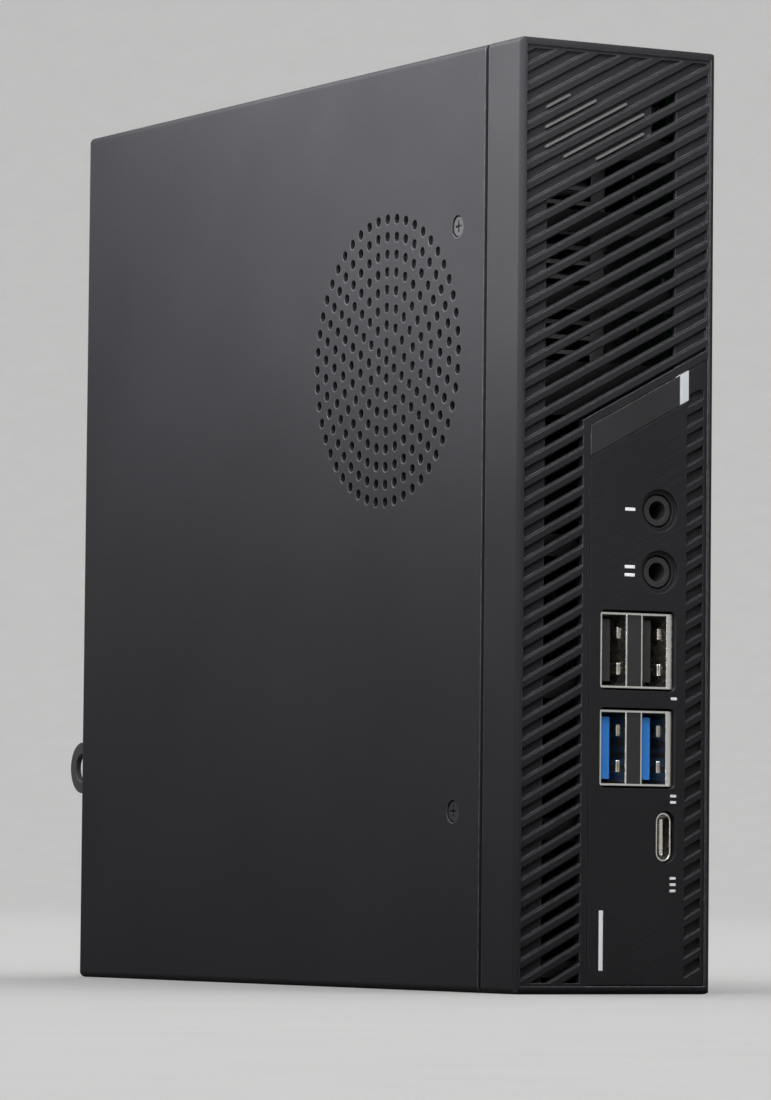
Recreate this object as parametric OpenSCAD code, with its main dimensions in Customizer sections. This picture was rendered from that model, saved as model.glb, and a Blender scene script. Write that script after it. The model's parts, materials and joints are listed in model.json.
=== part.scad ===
// Flat desktop mini PC, standing upright on its narrow side.
// +X points to the base plate, -Y to the front port panel, +Z up. Z = 0 is the lower side.

/* [Case] */
// Thickness of the case, base to cover
case_x = 42.2; // [41.8:0.1:43]
// Depth of the case, front to rear
case_y = 175; // [174:0.5:177]
// Height of the case as it stands
case_z = 175; // [174:0.5:177]
// Thickness of the steel sheet
sheet = 0.8; // [0.7:0.05:0.9]
// Outer bend radius of the sheet
bend_r = 1.2; // [1:0.1:1.6]
// Radius along the bezel's outer edges
edge_r = 1.1; // [0.8:0.1:1.2]
// Depth of the moulded front bezel
bezel_y = 12; // [11.5:0.1:12.5]
// Width of the seam between bezel and cover
seam = 1.2; // [0.8:0.1:1.4]
// Wall of the bezel
bezel_wall = 1.4; // [1.2:0.1:1.5]

/* [Slanted vents] */
// Slope of the ribs, rise over run
slope = 0.53; // [0.50:0.01:0.56]
// Upright distance from rib to rib
rib_pitch = 3.64; // [3.5:0.02:3.8]
// Upright height of a slot
slot_h = 1.75; // [1.5:0.05:2]
// Chamfer along the edges of a rib
rib_edge = 0.3; // [0.2:0.05:0.35]
// Depth of the ribbed field behind the rim
field_drop = 0.4; // [0.3:0.1:0.6]

/* [Fan grille] */
// Rings of holes around the middle hole
rings = 8; // [4:1:8]
// Distance from ring to ring
ring_pitch = 3.37; // [3.2:0.01:3.4]
// Radius of one grille hole
grille_r = 0.98; // [0.8:0.02:1.05]

/* [Cooler] */
// Distance from the front face to the fan axis
fan_from_front = 49.2; // [49:0.1:49.6]
// Height of the fan axis
fan_z = 118.9; // [118.5:0.1:119.5]
// Side of the square fan frame
fan_side = 70; // [68:0.5:70]
// Number of fan blades
blades = 9; // [7:1:11]

/* [Fixing] */
// Side of the square of threaded inserts in the base
vesa_side = 100; // [99:0.5:101]
// Radius of each insert's thread
vesa_r = 2; // [1.8:0.1:2.1]
// Radius of the hole in the padlock loop
loop_hole_r = 3; // [2.6:0.1:3.2]

/* [Hidden] */
$fn = 48;
gap = 0.2;
hx = case_x / 2;
yf = -case_y / 2;
yr = case_y / 2;
bezel_back = yf + bezel_y;
cover_front = bezel_back + seam;
cover_in = -hx + sheet;
base_in = hx - sheet;
rear_in = yr - sheet;
pan_z0 = sheet + gap;
pan_z1 = case_z - pan_z0;
flange = 6;

// Front panel, from the rim inwards
field_y = yf + field_drop;
panel_in = yf + 2;
shield_y = panel_in + 0.6;
insert_x = -5.7;
field_x = hx - bezel_wall + 0.3;
field_z = case_z - bezel_wall;
button_low = 101.3;
button_high = 107.3;
light_x = 13.95;
light_w = 1.8;
vent_x0 = -15;
vent_x1 = 13;
first_slot = 155.9;
strip_h = 0.4;
strip_runs = [[-4.5, 5.5], [-11.5, 5.5], [-15.5, 1.7], [-15.5, -4.9], [-15.3, -10.5]];

// Board, with its parts on the -X face
board_x = 13;
board_t = 1.6;
board_y = 84;
board_z = [3, 172];
board_holes = [[-63, 12], [-63, 165], [8, 90], [0, 165], [60, 165], [55, 12]];
port_front = yf + 1.2;

// Ports on the front edge: height of each middle
mic_z = 89.1;
phone_z = 77.75;
usb2_z = 63.1;
usb3_z = 45.15;
usbc_z = 28.9;
jack_x = 9.55;
jack_r = 1.8;
usbc_x = 11.3;

// USB-A sockets of a stack: lower edges in X, height and width
usb_low = [-2.3, 6.5];
usb_h = 5.2;
usb_w = 13.1;

// Ports on the rear edge
port_rear = yr + 0.2;
dc_z = 162;
hdmi_z = 141;
dp_z = 120;
lan_z = 98;
rear_usb_z = [58, 76];
option_z = 135;
option_x = -11.5;

// Window of the rear wall that holds the port shield
io_x = [-3.9, 14.6];
io_z = [49, 169.4];

// Cooler stack, from the board towards the cover
fan_y = yf + fan_from_front;
sink_x1 = 5.6;
sink_base = 3;
fin_x0 = -7.4;
fan_x1 = fin_x0 - gap;
fan_t = 10;
fan_x0 = fan_x1 - fan_t;
fan_bore = fan_side / 2 - 2;
ears = [for (y = [-26, 26], z = [-38, 38]) [fan_y + y, fan_z + z]];
fan_hole = fan_side / 2 - 4;
fan_holes = [for (y = [-1, 1], z = [-1, 1]) [fan_y + y * fan_hole, fan_z + z * fan_hole]];

// Memory
dimm_l = 69.6;
dimm_z = 41.2;
dimm_y = [-58, -21];
latch_len = 19;

// Drive
drive = [7, 69.85, 100];
drive_at = [-19.5, -1, 2.7];
tray_x = -11.5;
tray_posts = [[12, 97], [60, 97]];

// Padlock loop and cover screws
loop_z = 43.4;
loop_x = -hx + 2;
loop_t = 1.2;
cover_screw_at = [[-64.6, 142], [-64.6, 33.3]];

// Shapes in the case's own axes
module block(x, y, z) {
    translate([x[0], y[0], z[0]]) cube([x[1] - x[0], y[1] - y[0], z[1] - z[0]]);
}
module rod_x(r, x, at) {
    translate([x[0], at[0], at[1]]) rotate([0, 90, 0]) cylinder(r = r, h = x[1] - x[0]);
}
module rod_y(r, y, at) {
    translate([at[0], y[1], at[1]]) rotate([90, 0, 0]) cylinder(r = r, h = y[1] - y[0]);
}
// An outline drawn in X and Z, extruded along Y
module along_y(y) {
    translate([0, y[1], 0]) rotate([90, 0, 0]) linear_extrude(y[1] - y[0]) children();
}
// An outline drawn in Y and Z, extruded along X
module along_x(x) {
    translate([x[0], 0, 0]) rotate([90, 0, 90]) linear_extrude(x[1] - x[0]) children();
}
module rounded(a, b, r) {
    translate([a[0] + r, a[1]]) square([b[0] - a[0] - 2 * r, b[1] - a[1]]);
    translate([a[0], a[1] + r]) square([b[0] - a[0], b[1] - a[1] - 2 * r]);
    for (x = [a[0] + r, b[0] - r], y = [a[1] + r, b[1] - r]) translate([x, y]) circle(r);
}
// A box whose edges are rounded along all three axes
module soft_box(x, y, z, r) {
    intersection() {
        along_y(y) rounded([x[0], z[0]], [x[1], z[1]], r);
        along_x(x) rounded([y[0], z[0]], [y[1], z[1]], r);
        translate([0, 0, z[0]]) linear_extrude(z[1] - z[0]) rounded([x[0], y[0]], [x[1], y[1]], r);
    }
}
// A slanted band between two upright ends: z is its height where x = 0
function band(x, z0, z1) = [
    [x[0], z0 + slope * x[0]], [x[1], z0 + slope * x[1]],
    [x[1], z1 + slope * x[1]], [x[0], z1 + slope * x[0]]
];
// A machine screw along X with its head on the -X side
module screw_x(at, head, shank, r) {
    rod_x(r[0], head, at);
    rod_x(r[1], [head[1], shank], at);
}
// A thin cable: straight rods, with a slightly thicker ball at each bend
module cable(points, r) {
    for (i = [0 : len(points) - 2]) {
        run = points[i + 1] - points[i];
        flat = norm([run[0], run[1]]);
        translate(points[i])
            rotate([0, atan2(flat, run[2]), atan2(run[1], run[0])])
                cylinder(r = r, h = norm(run));
    }
    for (i = [1 : len(points) - 2]) translate(points[i]) sphere(1.25 * r);
}

// ---- Case ----
module grille_holes() {
    translate([fan_y, fan_z]) circle(grille_r);
    for (n = [1 : rings], i = [0 : 6 * n - 1])
        translate([fan_y, fan_z])
            rotate(90 + i * 60 / n)
                translate([n * ring_pitch, 0])
                    circle(grille_r);
}
module top_cover() {
    color("dimgray") {
        // Large face, with the grille and two screw dimples
        difference() {
            union() {
                along_x([-hx, cover_in])
                    difference() {
                        translate([cover_front, bend_r])
                            square([yr - cover_front, case_z - 2 * bend_r]);
                        grille_holes();
                    }
                for (at = cover_screw_at) rod_x(3, [cover_in - 0.2, cover_in + 1], at);
            }
            for (at = cover_screw_at) {
                rod_x(2.1, [-hx - 1, cover_in + 0.2], at);
                rod_x(1.3, [-hx - 1, cover_in + 2], at);
            }
        }
        // Bends and side flanges
        along_y([cover_front, yr])
            difference() {
                rounded([-hx, 0], [hx, case_z], bend_r);
                translate([cover_in, sheet]) square([case_x, case_z - 2 * sheet]);
                translate([base_in - 0.4, -1]) square([10, case_z + 2]);
                translate([-hx - 1, bend_r]) square([sheet + 1, case_z - 2 * bend_r]);
            }
    }
}
module vent_rows(z, rows, at) {
    for (i = [0 : rows - 1])
        translate([at, z + i * 4.2]) rounded([0, 0], [11, 2], 0.9);
}
module base_pan() {
    color([0.13, 0.13, 0.14])
        difference() {
            union() {
                block([base_in, hx], [cover_front, yr], [pan_z0, pan_z1]);
                // Step down under the bezel
                block([hx - 2.4, hx], [cover_front, cover_front + sheet], [3, case_z - 3]);
                block([hx - 2.4, hx - 1.6], [panel_in + 1.4, cover_front + sheet], [3, case_z - 3]);
                // Short flanges that the cover lies over
                for (z = [[pan_z0, pan_z0 + sheet], [pan_z1 - sheet, pan_z1]])
                    block([hx - flange, hx], [cover_front + 4, rear_in], z);
            }
            // Base vents and insert holes
            along_x([base_in - 1, hx + 1])
                for (y = [-42, -30, 30, 42], i = [0 : 7])
                    translate([y - 5, 62 + i * 7]) rounded([0, 0], [10, 3], 1.4);
            for (at = vesa_at()) rod_x(2.9, [base_in - 1, hx + 1], at);
        }
}
module rear_wall() {
    color([0.13, 0.13, 0.14])
        along_y([rear_in, yr])
            difference() {
                translate([cover_in + gap, pan_z0])
                    square([base_in - cover_in - gap, pan_z1 - pan_z0]);
                vent_rows(9, 6, -16);
                vent_rows(52, 13, -16);
                vent_rows(112, 1, -16);
                translate([io_x[0], io_z[0]]) square([io_x[1] - io_x[0], io_z[1] - io_z[0]]);
                // Optional port and padlock loop
                rounded([option_x - 5, option_z - 13], [option_x + 5, option_z + 13], 1);
                for (z = [-16.5, 16.5]) translate([option_x, option_z + z]) circle(1.4);
                rounded([loop_x - 0.1, loop_z - 6.6], [loop_x + loop_t + 0.1, loop_z + 6.6], 0.3);
            }
}
// A stamped plate with an opening for each port, and a lip behind the wall's window
module io_shield() {
    color("silver") {
        io_plate([rear_in, yr - 0.1], -0.1);
        io_plate([rear_in - 0.4, rear_in], 1.2);
    }
}
module io_plate(y, grow) {
    along_y(y)
        difference() {
            translate([io_x[0] - grow, io_z[0] - grow])
                square([io_x[1] - io_x[0] + 2 * grow, io_z[1] - io_z[0] + 2 * grow]);
            rounded([1.8, dc_z - 5.3], [13.2, dc_z + 5.3], 0.5);
            rounded([7, hdmi_z - 7.7], [13.2, hdmi_z + 7.7], 0.5);
            rounded([6.3, dp_z - 8.7], [13.2, dp_z + 8.7], 0.5);
            rounded([-0.8, lan_z - 8.3], [13.2, lan_z + 8.3], 0.5);
            for (z = rear_usb_z) rounded([-3.2, z - 7.4], [13.2, z + 7.4], 0.5);
        }
}
function vesa_at() = [
    for (y = [-1, 1], z = [-1, 1]) [y * vesa_side / 2, case_z / 2 + z * vesa_side / 2]
];
module padlock_loop() {
    color("silver") {
        along_x([loop_x, loop_x + loop_t])
            difference() {
                union() {
                    translate([rear_in - 6, loop_z - 6.5]) square([6 + sheet + 1.2, 13]);
                    translate([yr, loop_z - 5.3]) square([4.1, 10.6]);
                    translate([yr + 4.1, loop_z]) circle(5.3);
                }
                translate([yr + 4.1, loop_z]) circle(loop_hole_r);
            }
        block([loop_x, loop_x + 9], [rear_in - 6.8, rear_in - 6], [loop_z - 6.5, loop_z + 6.5]);
        block([loop_x + 8.2, loop_x + 9], [rear_in - 6.8, rear_in], [loop_z - 6.5, loop_z + 6.5]);
    }
}
module front_bezel() {
    color([0.16, 0.16, 0.17])
        difference() {
            union() {
                difference() {
                    intersection() {
                        soft_box([-hx, hx], [yf, bezel_back + 5], [0, case_z], edge_r);
                        block([-hx, hx], [yf, bezel_back], [0, case_z]);
                    }
                    block([-hx + bezel_wall, hx - bezel_wall], [panel_in, bezel_back + 1],
                        [bezel_wall, case_z - bezel_wall]);
                    // The field lies a little behind the rim
                    block([-field_x, field_x], [yf - 1, field_y],
                        [case_z - field_z, field_z]);
                }
                // Tongue that the cover lies over
                difference() {
                    block([cover_in + gap, hx - 5], [bezel_back - 1, bezel_back + 4.4],
                        [pan_z0, pan_z1]);
                    block([cover_in + 0.9, hx], [bezel_back - 2, bezel_back + 5],
                        [pan_z0 + 1, pan_z1 - 1]);
                }
            }
            bezel_slots();
            // Opening for the port plate and the button
            along_y([yf - 1, panel_in + 1]) intersection() {
                translate([insert_x, bezel_wall + 0.1])
                    square([field_x - 0.2 - insert_x, 200]);
                polygon(band([-30, 30], -100, button_high));
            }
            strips(0.05);
        }
}
// One slanted slot: square sides that open into a chamfer at the field
module slot_cut(z, depth) {
    tilt = atan(slope);
    half = slot_h * cos(tilt) / 2;
    rise = rib_edge + 0.5;
    translate([0, 0, z]) rotate([0, -tilt, 0]) rotate([90, 0, 90])
        linear_extrude(80, center = true)
            polygon([
                [field_y - 0.5, half + rise], [field_y + rib_edge, half], [field_y + depth, half],
                [field_y + depth, -half], [field_y + rib_edge, -half], [field_y - 0.5, -half - rise]
            ]);
}
module slot_family(from, to, depth) {
    for (k = [from : to]) slot_cut(first_slot + k * rib_pitch, depth);
}
module bezel_slots() {
    intersection() {
        union() {
            // Shallow grooves over the whole width
            intersection() {
                slot_family(-48, 9, 0.7);
                block([-field_x, field_x - 0.4], [yf - 1, panel_in + 1], [0, case_z]);
            }
            // Open slots in the middle, fewer of them beside the light strips
            intersection() {
                slot_family(-46, -1, 2.2);
                block([vent_x0, vent_x1], [yf - 1, panel_in + 1], [0, case_z]);
            }
            intersection() {
                slot_family(0, 1, 2.2);
                block([strip_runs[1][1] + 2, vent_x1], [yf - 1, panel_in + 1], [0, case_z]);
            }
        }
        along_y([yf - 1, panel_in + 1]) slot_field();
    }
}
// Where slots may be cut: left of the port plate, and above the button
module slot_field() {
    intersection() {
        translate([-field_x, bezel_wall + 0.6])
            square([2 * field_x, case_z - 2 * bezel_wall - 1.2]);
        union() {
            translate([-30, 0]) square([30 + insert_x - 1.4, case_z]);
            polygon(band([-30, 30], button_high + 1.6, 300));
        }
    }
}
// Light strips lie in the slot lines of the top field
module strips(grow) {
    for (k = [0 : len(strip_runs) - 1]) {
        z = first_slot + k * rib_pitch;
        along_y([field_y - 0.1 - grow, field_y + 1.1 + grow])
            polygon(band([strip_runs[k][0] - grow, strip_runs[k][1] + grow],
                z - strip_h / 2 - grow, z + strip_h / 2 + grow));
    }
}
module rib_light_strips() {
    color("whitesmoke") strips(0);
}
// The port plate fills the opening up to the button's lower edge
module plate_outline() {
    difference() {
        intersection() {
            translate([insert_x + gap, bezel_wall + 0.3])
                square([field_x - 0.4 - insert_x - gap, 200]);
            polygon(band([-30, 30], -100, button_high - gap));
        }
        polygon(band([-30, light_x + light_w + 0.2], button_low, 200));
    }
}
module port_plate() {
    color([0.12, 0.12, 0.13])
        difference() {
            along_y([field_y, panel_in]) plate_outline();
            along_y([yf - 1, panel_in + 1]) {
                for (z = [usb2_z, usb3_z])
                    rounded([-3.1, z - 7.4], [13.2, z + 7.4], 1);
                translate([usbc_x, usbc_z]) stadium(9.6, 2.1);
                for (z = [mic_z, phone_z]) translate([jack_x, z]) circle(3.2);
            }
            // Shallow dishes around the two audio jacks
            for (z = [mic_z, phone_z]) rod_y(4, [yf - 1, field_y + 0.7], [jack_x, z]);
            // Ribs run out over the outer edge of the plate
            intersection() {
                slot_family(-46, -14, 0.7);
                along_y([yf - 1, yf + 3]) translate([15.4, 3]) square([field_x - 16.4, 109]);
            }
        }
}
module power_button() {
    color([0.2, 0.2, 0.21]) {
        along_y([field_y, panel_in - 0.1])
            polygon(band([insert_x + gap, light_x - gap], button_low + gap, button_high - gap));
        // Stem to the switch on the board's front edge
        along_y([panel_in - 0.1, yf + 5.25])
            polygon(band([9.8, 12.4], button_low + 1.5, button_high - 1.5));
    }
}
module button_light() {
    color("white")
        along_y([field_y, shield_y - 0.1])
            polygon(band([light_x, light_x + light_w], button_low + gap, button_high - gap));
}
module front_shield() {
    color("gray")
        difference() {
            union() {
                block([cover_in + 2, hx - 2.4], [shield_y, shield_y + sheet], [3, case_z - 3]);
                for (at = cover_screw_at)
                    block([cover_in + 1, cover_in + 1 + sheet], [shield_y, at[0] + 5],
                        [at[1] - 5, at[1] + 5]);
                for (at = cover_screw_at)
                    block([cover_in + 1, cover_in + 2.5], [shield_y, shield_y + sheet],
                        [at[1] - 5, at[1] + 5]);
            }
            along_y([shield_y - 1, shield_y + 2]) {
                for (i = [0 : 3]) translate([-16, 6 + i * 26]) square([9.5, 22]);
                for (i = [0 : 3]) translate([-16, 116 + i * 14]) square([30, 10]);
                for (z = [usb2_z, usb3_z])
                    translate([-3.1, z - 7.4]) square([16.3, 14.8]);
                translate([usbc_x, usbc_z]) stadium(9.6, 2.1);
                for (z = [mic_z, phone_z]) translate([jack_x, z]) circle(3.3);
                polygon(band([9.2, 13], button_low + 0.7, button_high - 0.7));
            }
            for (at = cover_screw_at) rod_x(1.3, [-hx, -hx + 5], at);
        }
}
module stadium(length, r) {
    square([2 * r, length - 2 * r], center = true);
    for (s = [-1, 1]) translate([0, s * (length / 2 - r)]) circle(r);
}
module cover_screws() {
    color("silver")
        for (at = cover_screw_at)
            difference() {
                screw_x(at, [-hx + 0.25, cover_in + 0.2], -hx + 3.3, [1.85, 1.2]);
                for (a = [0, 90])
                    translate([-hx, at[0], at[1]]) rotate([a, 0, 0])
                        cube([1.3, 2.2, 0.45], center = true);
            }
}
module rubber_feet() {
    color("black")
        for (y = [-66, 74], z = [-72, 72])
            translate([hx, y, case_z / 2 + z]) rotate([0, 90, 0]) {
                cylinder(r = 6, h = 0.7);
                translate([0, 0, 0.7]) cylinder(r1 = 6, r2 = 5.6, h = 0.4);
            }
}
module vesa_inserts() {
    color("goldenrod")
        for (at = vesa_at())
            difference() {
                union() {
                    rod_x(2.9, [base_in, hx], at);
                    rod_x(4, [base_in - 2.6, base_in], at);
                }
                rod_x(vesa_r, [base_in - 3, hx + 1], at);
            }
}

// ---- Board ----
module motherboard() {
    color("darkgreen")
        difference() {
            block([board_x, board_x + board_t], [-board_y + 1, board_y], board_z);
            for (at = board_holes) rod_x(1.6, [board_x - 1, board_x + 3], at);
            for (at = ears) rod_x(1.8, [board_x - 1, board_x + 3], at);
        }
}
module board_standoffs() {
    color("silver")
        for (at = board_holes)
            difference() {
                rod_x(3, [board_x + board_t, base_in], at);
                rod_x(1.3, [board_x, hx], at);
            }
}
module board_screws() {
    color("lightgray")
        for (at = board_holes) screw_x(at, [board_x - 1.6, board_x], base_in - 1, [2.8, 1.25]);
}
module cpu_socket() {
    color([0.1, 0.1, 0.1])
        block([board_x - 2.8, board_x], [fan_y - 21, fan_y + 21], [fan_z - 25, fan_z + 25]);
}
module cpu() {
    color("silver") {
        block([board_x - 3.9, board_x - 2.8], [fan_y - 18.7, fan_y + 18.7], [fan_z - 22.5, fan_z + 22.5]);
        block([sink_x1, board_x - 3.9], [fan_y - 14, fan_y + 14], [fan_z - 18, fan_z + 18]);
    }
}
module socket_frame() {
    color("gainsboro")
        difference() {
            block([board_x - 5, board_x], [fan_y - 24, fan_y + 24], [fan_z - 27, fan_z + 27]);
            block([board_x - 6, board_x + 1], [fan_y - 15.5, fan_y + 15.5], [fan_z - 19.5, fan_z + 19.5]);
            block([board_x - 3.9, board_x + 1], [fan_y - 22, fan_y + 22], [fan_z - 26, fan_z + 26]);
            block([board_x - 3.9, board_x + 1], [fan_y - 19, fan_y + 19], [fan_z - 30, fan_z + 30]);
        }
}
module cooler_backplate() {
    color("gray")
        difference() {
            block([board_x + board_t, board_x + board_t + 1.6], [fan_y - 31, fan_y + 31],
                [fan_z - 43, fan_z + 43]);
            for (at = ears) rod_x(1.65, [board_x, hx], at);
            block([board_x, hx], [fan_y - 18, fan_y + 18], [fan_z - 22, fan_z + 22]);
            rod_x(3.4, [board_x, hx], board_holes[2]);
        }
}
module heatsink() {
    half = fan_side / 2;
    color("silver")
        difference() {
            union() {
                block([sink_x1 - sink_base, sink_x1], [fan_y - half, fan_y + half],
                    [fan_z - half, fan_z + half]);
                for (at = ears)
                    block([sink_x1 - sink_base, sink_x1], [at[0] - 3.5, at[0] + 3.5],
                        [min(at[1] - 3.5, fan_z), max(at[1] + 3.5, fan_z)]);
                for (i = [0 : 22])
                    block([fin_x0, sink_x1 - sink_base], [fan_y - half, fan_y + half],
                        [fan_z - 31.2 + i * 2.8, fan_z - 30.4 + i * 2.8]);
                for (at = fan_holes) rod_x(3, [fin_x0, sink_x1 - sink_base], at);
            }
            for (at = ears) rod_x(1.7, [-hx, hx], at);
            for (at = fan_holes) rod_x(1.35, [fin_x0 - 1, sink_x1 - sink_base], at);
        }
}
module cooler_screws() {
    color("lightgray")
        for (at = ears)
            screw_x(
                at, [sink_x1 - sink_base - 2, sink_x1 - sink_base],
                board_x + board_t + 1.6, [2.7, 1.6]
            );
}

// ---- Fan ----
module fan_frame() {
    half = fan_side / 2;
    color([0.08, 0.08, 0.08])
        difference() {
            union() {
                difference() {
                    along_x([fan_x0, fan_x1])
                        rounded([fan_y - half, fan_z - half], [fan_y + half, fan_z + half], 3);
                    rod_x(fan_bore, [fan_x0 - 1, fan_x1 + 1], [fan_y, fan_z]);
                }
                rod_x(13, [fan_x1 - 1.6, fan_x1], [fan_y, fan_z]);
                for (a = [0, 90])
                    translate([fan_x1 - 0.8, fan_y, fan_z]) rotate([a + 45, 0, 0])
                        cube([1.6, 2 * fan_bore + 1, 3], center = true);
                // Bearing tube
                rod_x(2.6, [fan_x0 + 4, fan_x1], [fan_y, fan_z]);
            }
            rod_x(1.55, [fan_x0 + 3, fan_x1 - 0.5], [fan_y, fan_z]);
            for (at = fan_holes) rod_x(1.7, [fan_x0 - 1, fan_x1 + 1], at);
        }
}
module fan_rotor() {
    hub = 12.5;
    color([0.12, 0.12, 0.12]) {
        translate([fan_x0 + 0.8, fan_y, fan_z]) rotate([0, 90, 0]) {
            // Hub cup with its shaft
            difference() {
                cylinder(r = hub, h = 7);
                translate([0, 0, 1.2]) cylinder(r = hub - 1.2, h = 7);
            }
            cylinder(r = 1.5, h = 8);
            intersection() {
                for (i = [0 : blades - 1])
                    rotate(i * 360 / blades)
                        translate([22, 0, 3.6]) rotate([38, 0, 0])
                            cube([22, 9.5, 0.9], center = true);
                difference() {
                    translate([0, 0, 0.4]) cylinder(r = fan_bore - 1, h = 6.4);
                    cylinder(r = hub - 0.5, h = 8);
                }
            }
        }
    }
}
module fan_screws() {
    color("lightgray")
        for (at = fan_holes) screw_x(at, [fan_x0 - 1, fan_x0], fin_x0 + 6, [2.6, 1.3]);
}
module fan_cable() {
    lead_y = fan_y + fan_side / 2 + 1.2;
    color("black") {
        cable([[fan_x1 - 2, lead_y - 1.2, 140], [fan_x1 - 2, lead_y, 140], [9.5, lead_y, 140]], 0.8);
        block([8.5, board_x], [lead_y - 1.1, lead_y + 2.4], [134, 146]);
    }
}

// ---- Memory ----
module memory_sockets() {
    z0 = dimm_z - 37.6;
    z1 = dimm_z + 37.6;
    color([0.1, 0.1, 0.11])
        for (y = dimm_y)
            difference() {
                union() {
                    block([board_x - 4, board_x], [y, y + 6.5], [z0, z1]);
                    for (z = [[z0, z0 + 4], [z1 - 4, z1]])
                        block([board_x - 1.4, board_x], [y + 6, y + 31], z);
                }
                block([board_x - 2.85, board_x - 1.55], [y + 2.4, y + 7], [z0 + 2.7, z1 - 2.7]);
            }
}
module memory_modules() {
    z0 = dimm_z - dimm_l / 2;
    color("darkgreen")
        for (y = dimm_y) {
            block([board_x - 2.8, board_x - 1.6], [y + 2.5, y + 32.5], [z0, z0 + dimm_l]);
            for (i = [0 : 3])
                block([board_x - 3.9, board_x - 2.8], [y + 14, y + 26],
                    [z0 + 4 + i * 16.4, z0 + 15 + i * 16.4]);
        }
}
// A latch arm turns outwards about X at its root, side is +1 at the top edge
module latch(y, side) {
    root = dimm_z + side * 35.7;
    edge = dimm_z + side * (dimm_l / 2 - 1.1);
    top = dimm_z + side * 36.1;
    color("gainsboro") {
        block([board_x - 4, board_x - 1.5], [y + 9, y + 9 + latch_len + 3],
            [min(top - side * 0.8, top), max(top - side * 0.8, top)]);
        rod_x(0.8, [board_x - 4, board_x - 1.5], [y + 9, root]);
        block([board_x - 4, board_x - 2.9], [y + 27.5, y + 31],
            [min(edge, top), max(edge, top)]);
    }
}
module memory_latch_1() { latch(dimm_y[0], 1); }
module memory_latch_2() { latch(dimm_y[0], -1); }
module memory_latch_3() { latch(dimm_y[1], 1); }
module memory_latch_4() { latch(dimm_y[1], -1); }

// ---- Cards and small parts on the board ----
module m2_sockets() {
    color([0.1, 0.1, 0.1]) {
        difference() {
            block([board_x - 4.2, board_x], [20, 42], [83.5, 89]);
            block([board_x - 2.5, board_x - 1.5], [19.9, 42.1], [82, 86]);
        }
        difference() {
            block([board_x - 4.2, board_x], [44, 66], [77, 82]);
            block([board_x - 2.5, board_x - 1.5], [43.9, 66.1], [76, 80]);
        }
        for (at = [[31, 4.5], [55, 48.5]]) rod_x(2.4, [board_x - 1.5, board_x], at);
    }
}
module solid_state_drive() {
    color("darkgreen")
        difference() {
            union() {
                block([board_x - 2.4, board_x - 1.6], [20.1, 41.9], [4.5, 85.9]);
                for (z = [14, 34, 54])
                    block([board_x - 3.8, board_x - 2.4], [24, 38], [z, z + 16]);
            }
            rod_x(1.75, [0, hx], [31, 4.5]);
        }
}
module m2_screws() {
    color("silver")
        for (at = [[31, 4.5], [55, 48.5]]) {
            rod_x(2.3, [board_x - 3.4, board_x - 2.45], at);
            rod_x(1.3, [board_x - 2.5, board_x - 1.5], at);
        }
}
module wifi_card() {
    color("darkgreen")
        difference() {
            union() {
                block([board_x - 2.4, board_x - 1.6], [44.1, 65.9], [48.5, 79.9]);
                block([board_x - 3.8, board_x - 2.4], [46, 64], [57, 73]);
            }
            rod_x(1.75, [0, hx], [55, 48.5]);
        }
}
module wifi_antennas() {
    color("goldenrod")
        for (z = [[5, 24], [152, 171]])
            block([-hx + bezel_wall + 0.05, -hx + bezel_wall + 0.6], [bezel_back - 8, bezel_back - 1], z);
}
module antenna_cables() {
    ant_x = -hx + bezel_wall + 0.6;
    color("black") {
        cable([[board_x - 2.4, 53, 54.5], [8, 53, 54.5], [8, 50, 83.4], [8, -79, 83.4],
            [-17.2, -79, 83.4], [-17.2, -79, 20], [ant_x, -79, 20]], 0.5);
        cable([[board_x - 2.4, 57, 54.5], [6.6, 57, 54.5], [6.6, 52, 83.4], [6.6, -77.5, 83.4],
            [-17.2, -77.5, 83.4], [-17.2, -77.5, 158], [ant_x, -77.5, 158]], 0.5);
    }
}
module chipset_heatsink() {
    color("silver") {
        block([board_x - 1.2, board_x], [18, 36], [126, 144]);
        block([board_x - 3.2, board_x - 1.2], [11, 43], [119, 151]);
        for (i = [0 : 9])
            block([4, board_x - 3.2], [11 + i * 3.4, 12.2 + i * 3.4], [119, 151]);
    }
}
module battery_holder() {
    color([0.1, 0.1, 0.1])
        difference() {
            rod_x(11.3, [board_x - 4, board_x], [55.5, 140]);
            rod_x(10.2, [0, board_x - 0.8], [55.5, 140]);
        }
}
module coin_battery() {
    color("silver") rod_x(10, [board_x - 4, board_x - 0.8], [55.5, 140]);
}
module inductors() {
    color([0.25, 0.25, 0.26])
        for (i = [0 : 4]) block([board_x - 5, board_x], [-54 + i * 10, -47 + i * 10], [162.5, 169.5]);
}
module capacitors() {
    color("silver")
        for (i = [0 : 4]) rod_x(3, [board_x - 8, board_x], [4, 102 + i * 7.5]);
}
module power_switch() {
    color("silver")
        difference() {
            along_y([yf + 6.4, yf + 10]) translate([9.2, 107.2]) square([board_x - 9.2, 5.6]);
            rod_y(1.3, [yf + 5, yf + 8.2], [11.1, 110.2]);
        }
}
module switch_plunger() {
    color("white") rod_y(1.2, [yf + 5.3, yf + 7.4], [11.1, 110.2]);
}

// ---- Front ports ----
module audio_jack(z) {
    color("black")
        difference() {
            union() {
                block([jack_x - 3.5, board_x], [shield_y + sheet, -72], [z - 3.4, z + 3.4]);
                rod_y(2.8, [yf + 1.3, shield_y + sheet + 1], [jack_x, z]);
            }
            rod_y(jack_r, [yf - 1, yf + 13.3], [jack_x, z]);
        }
}
module audio_jacks() {
    for (z = [mic_z, phone_z]) audio_jack(z);
}
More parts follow.
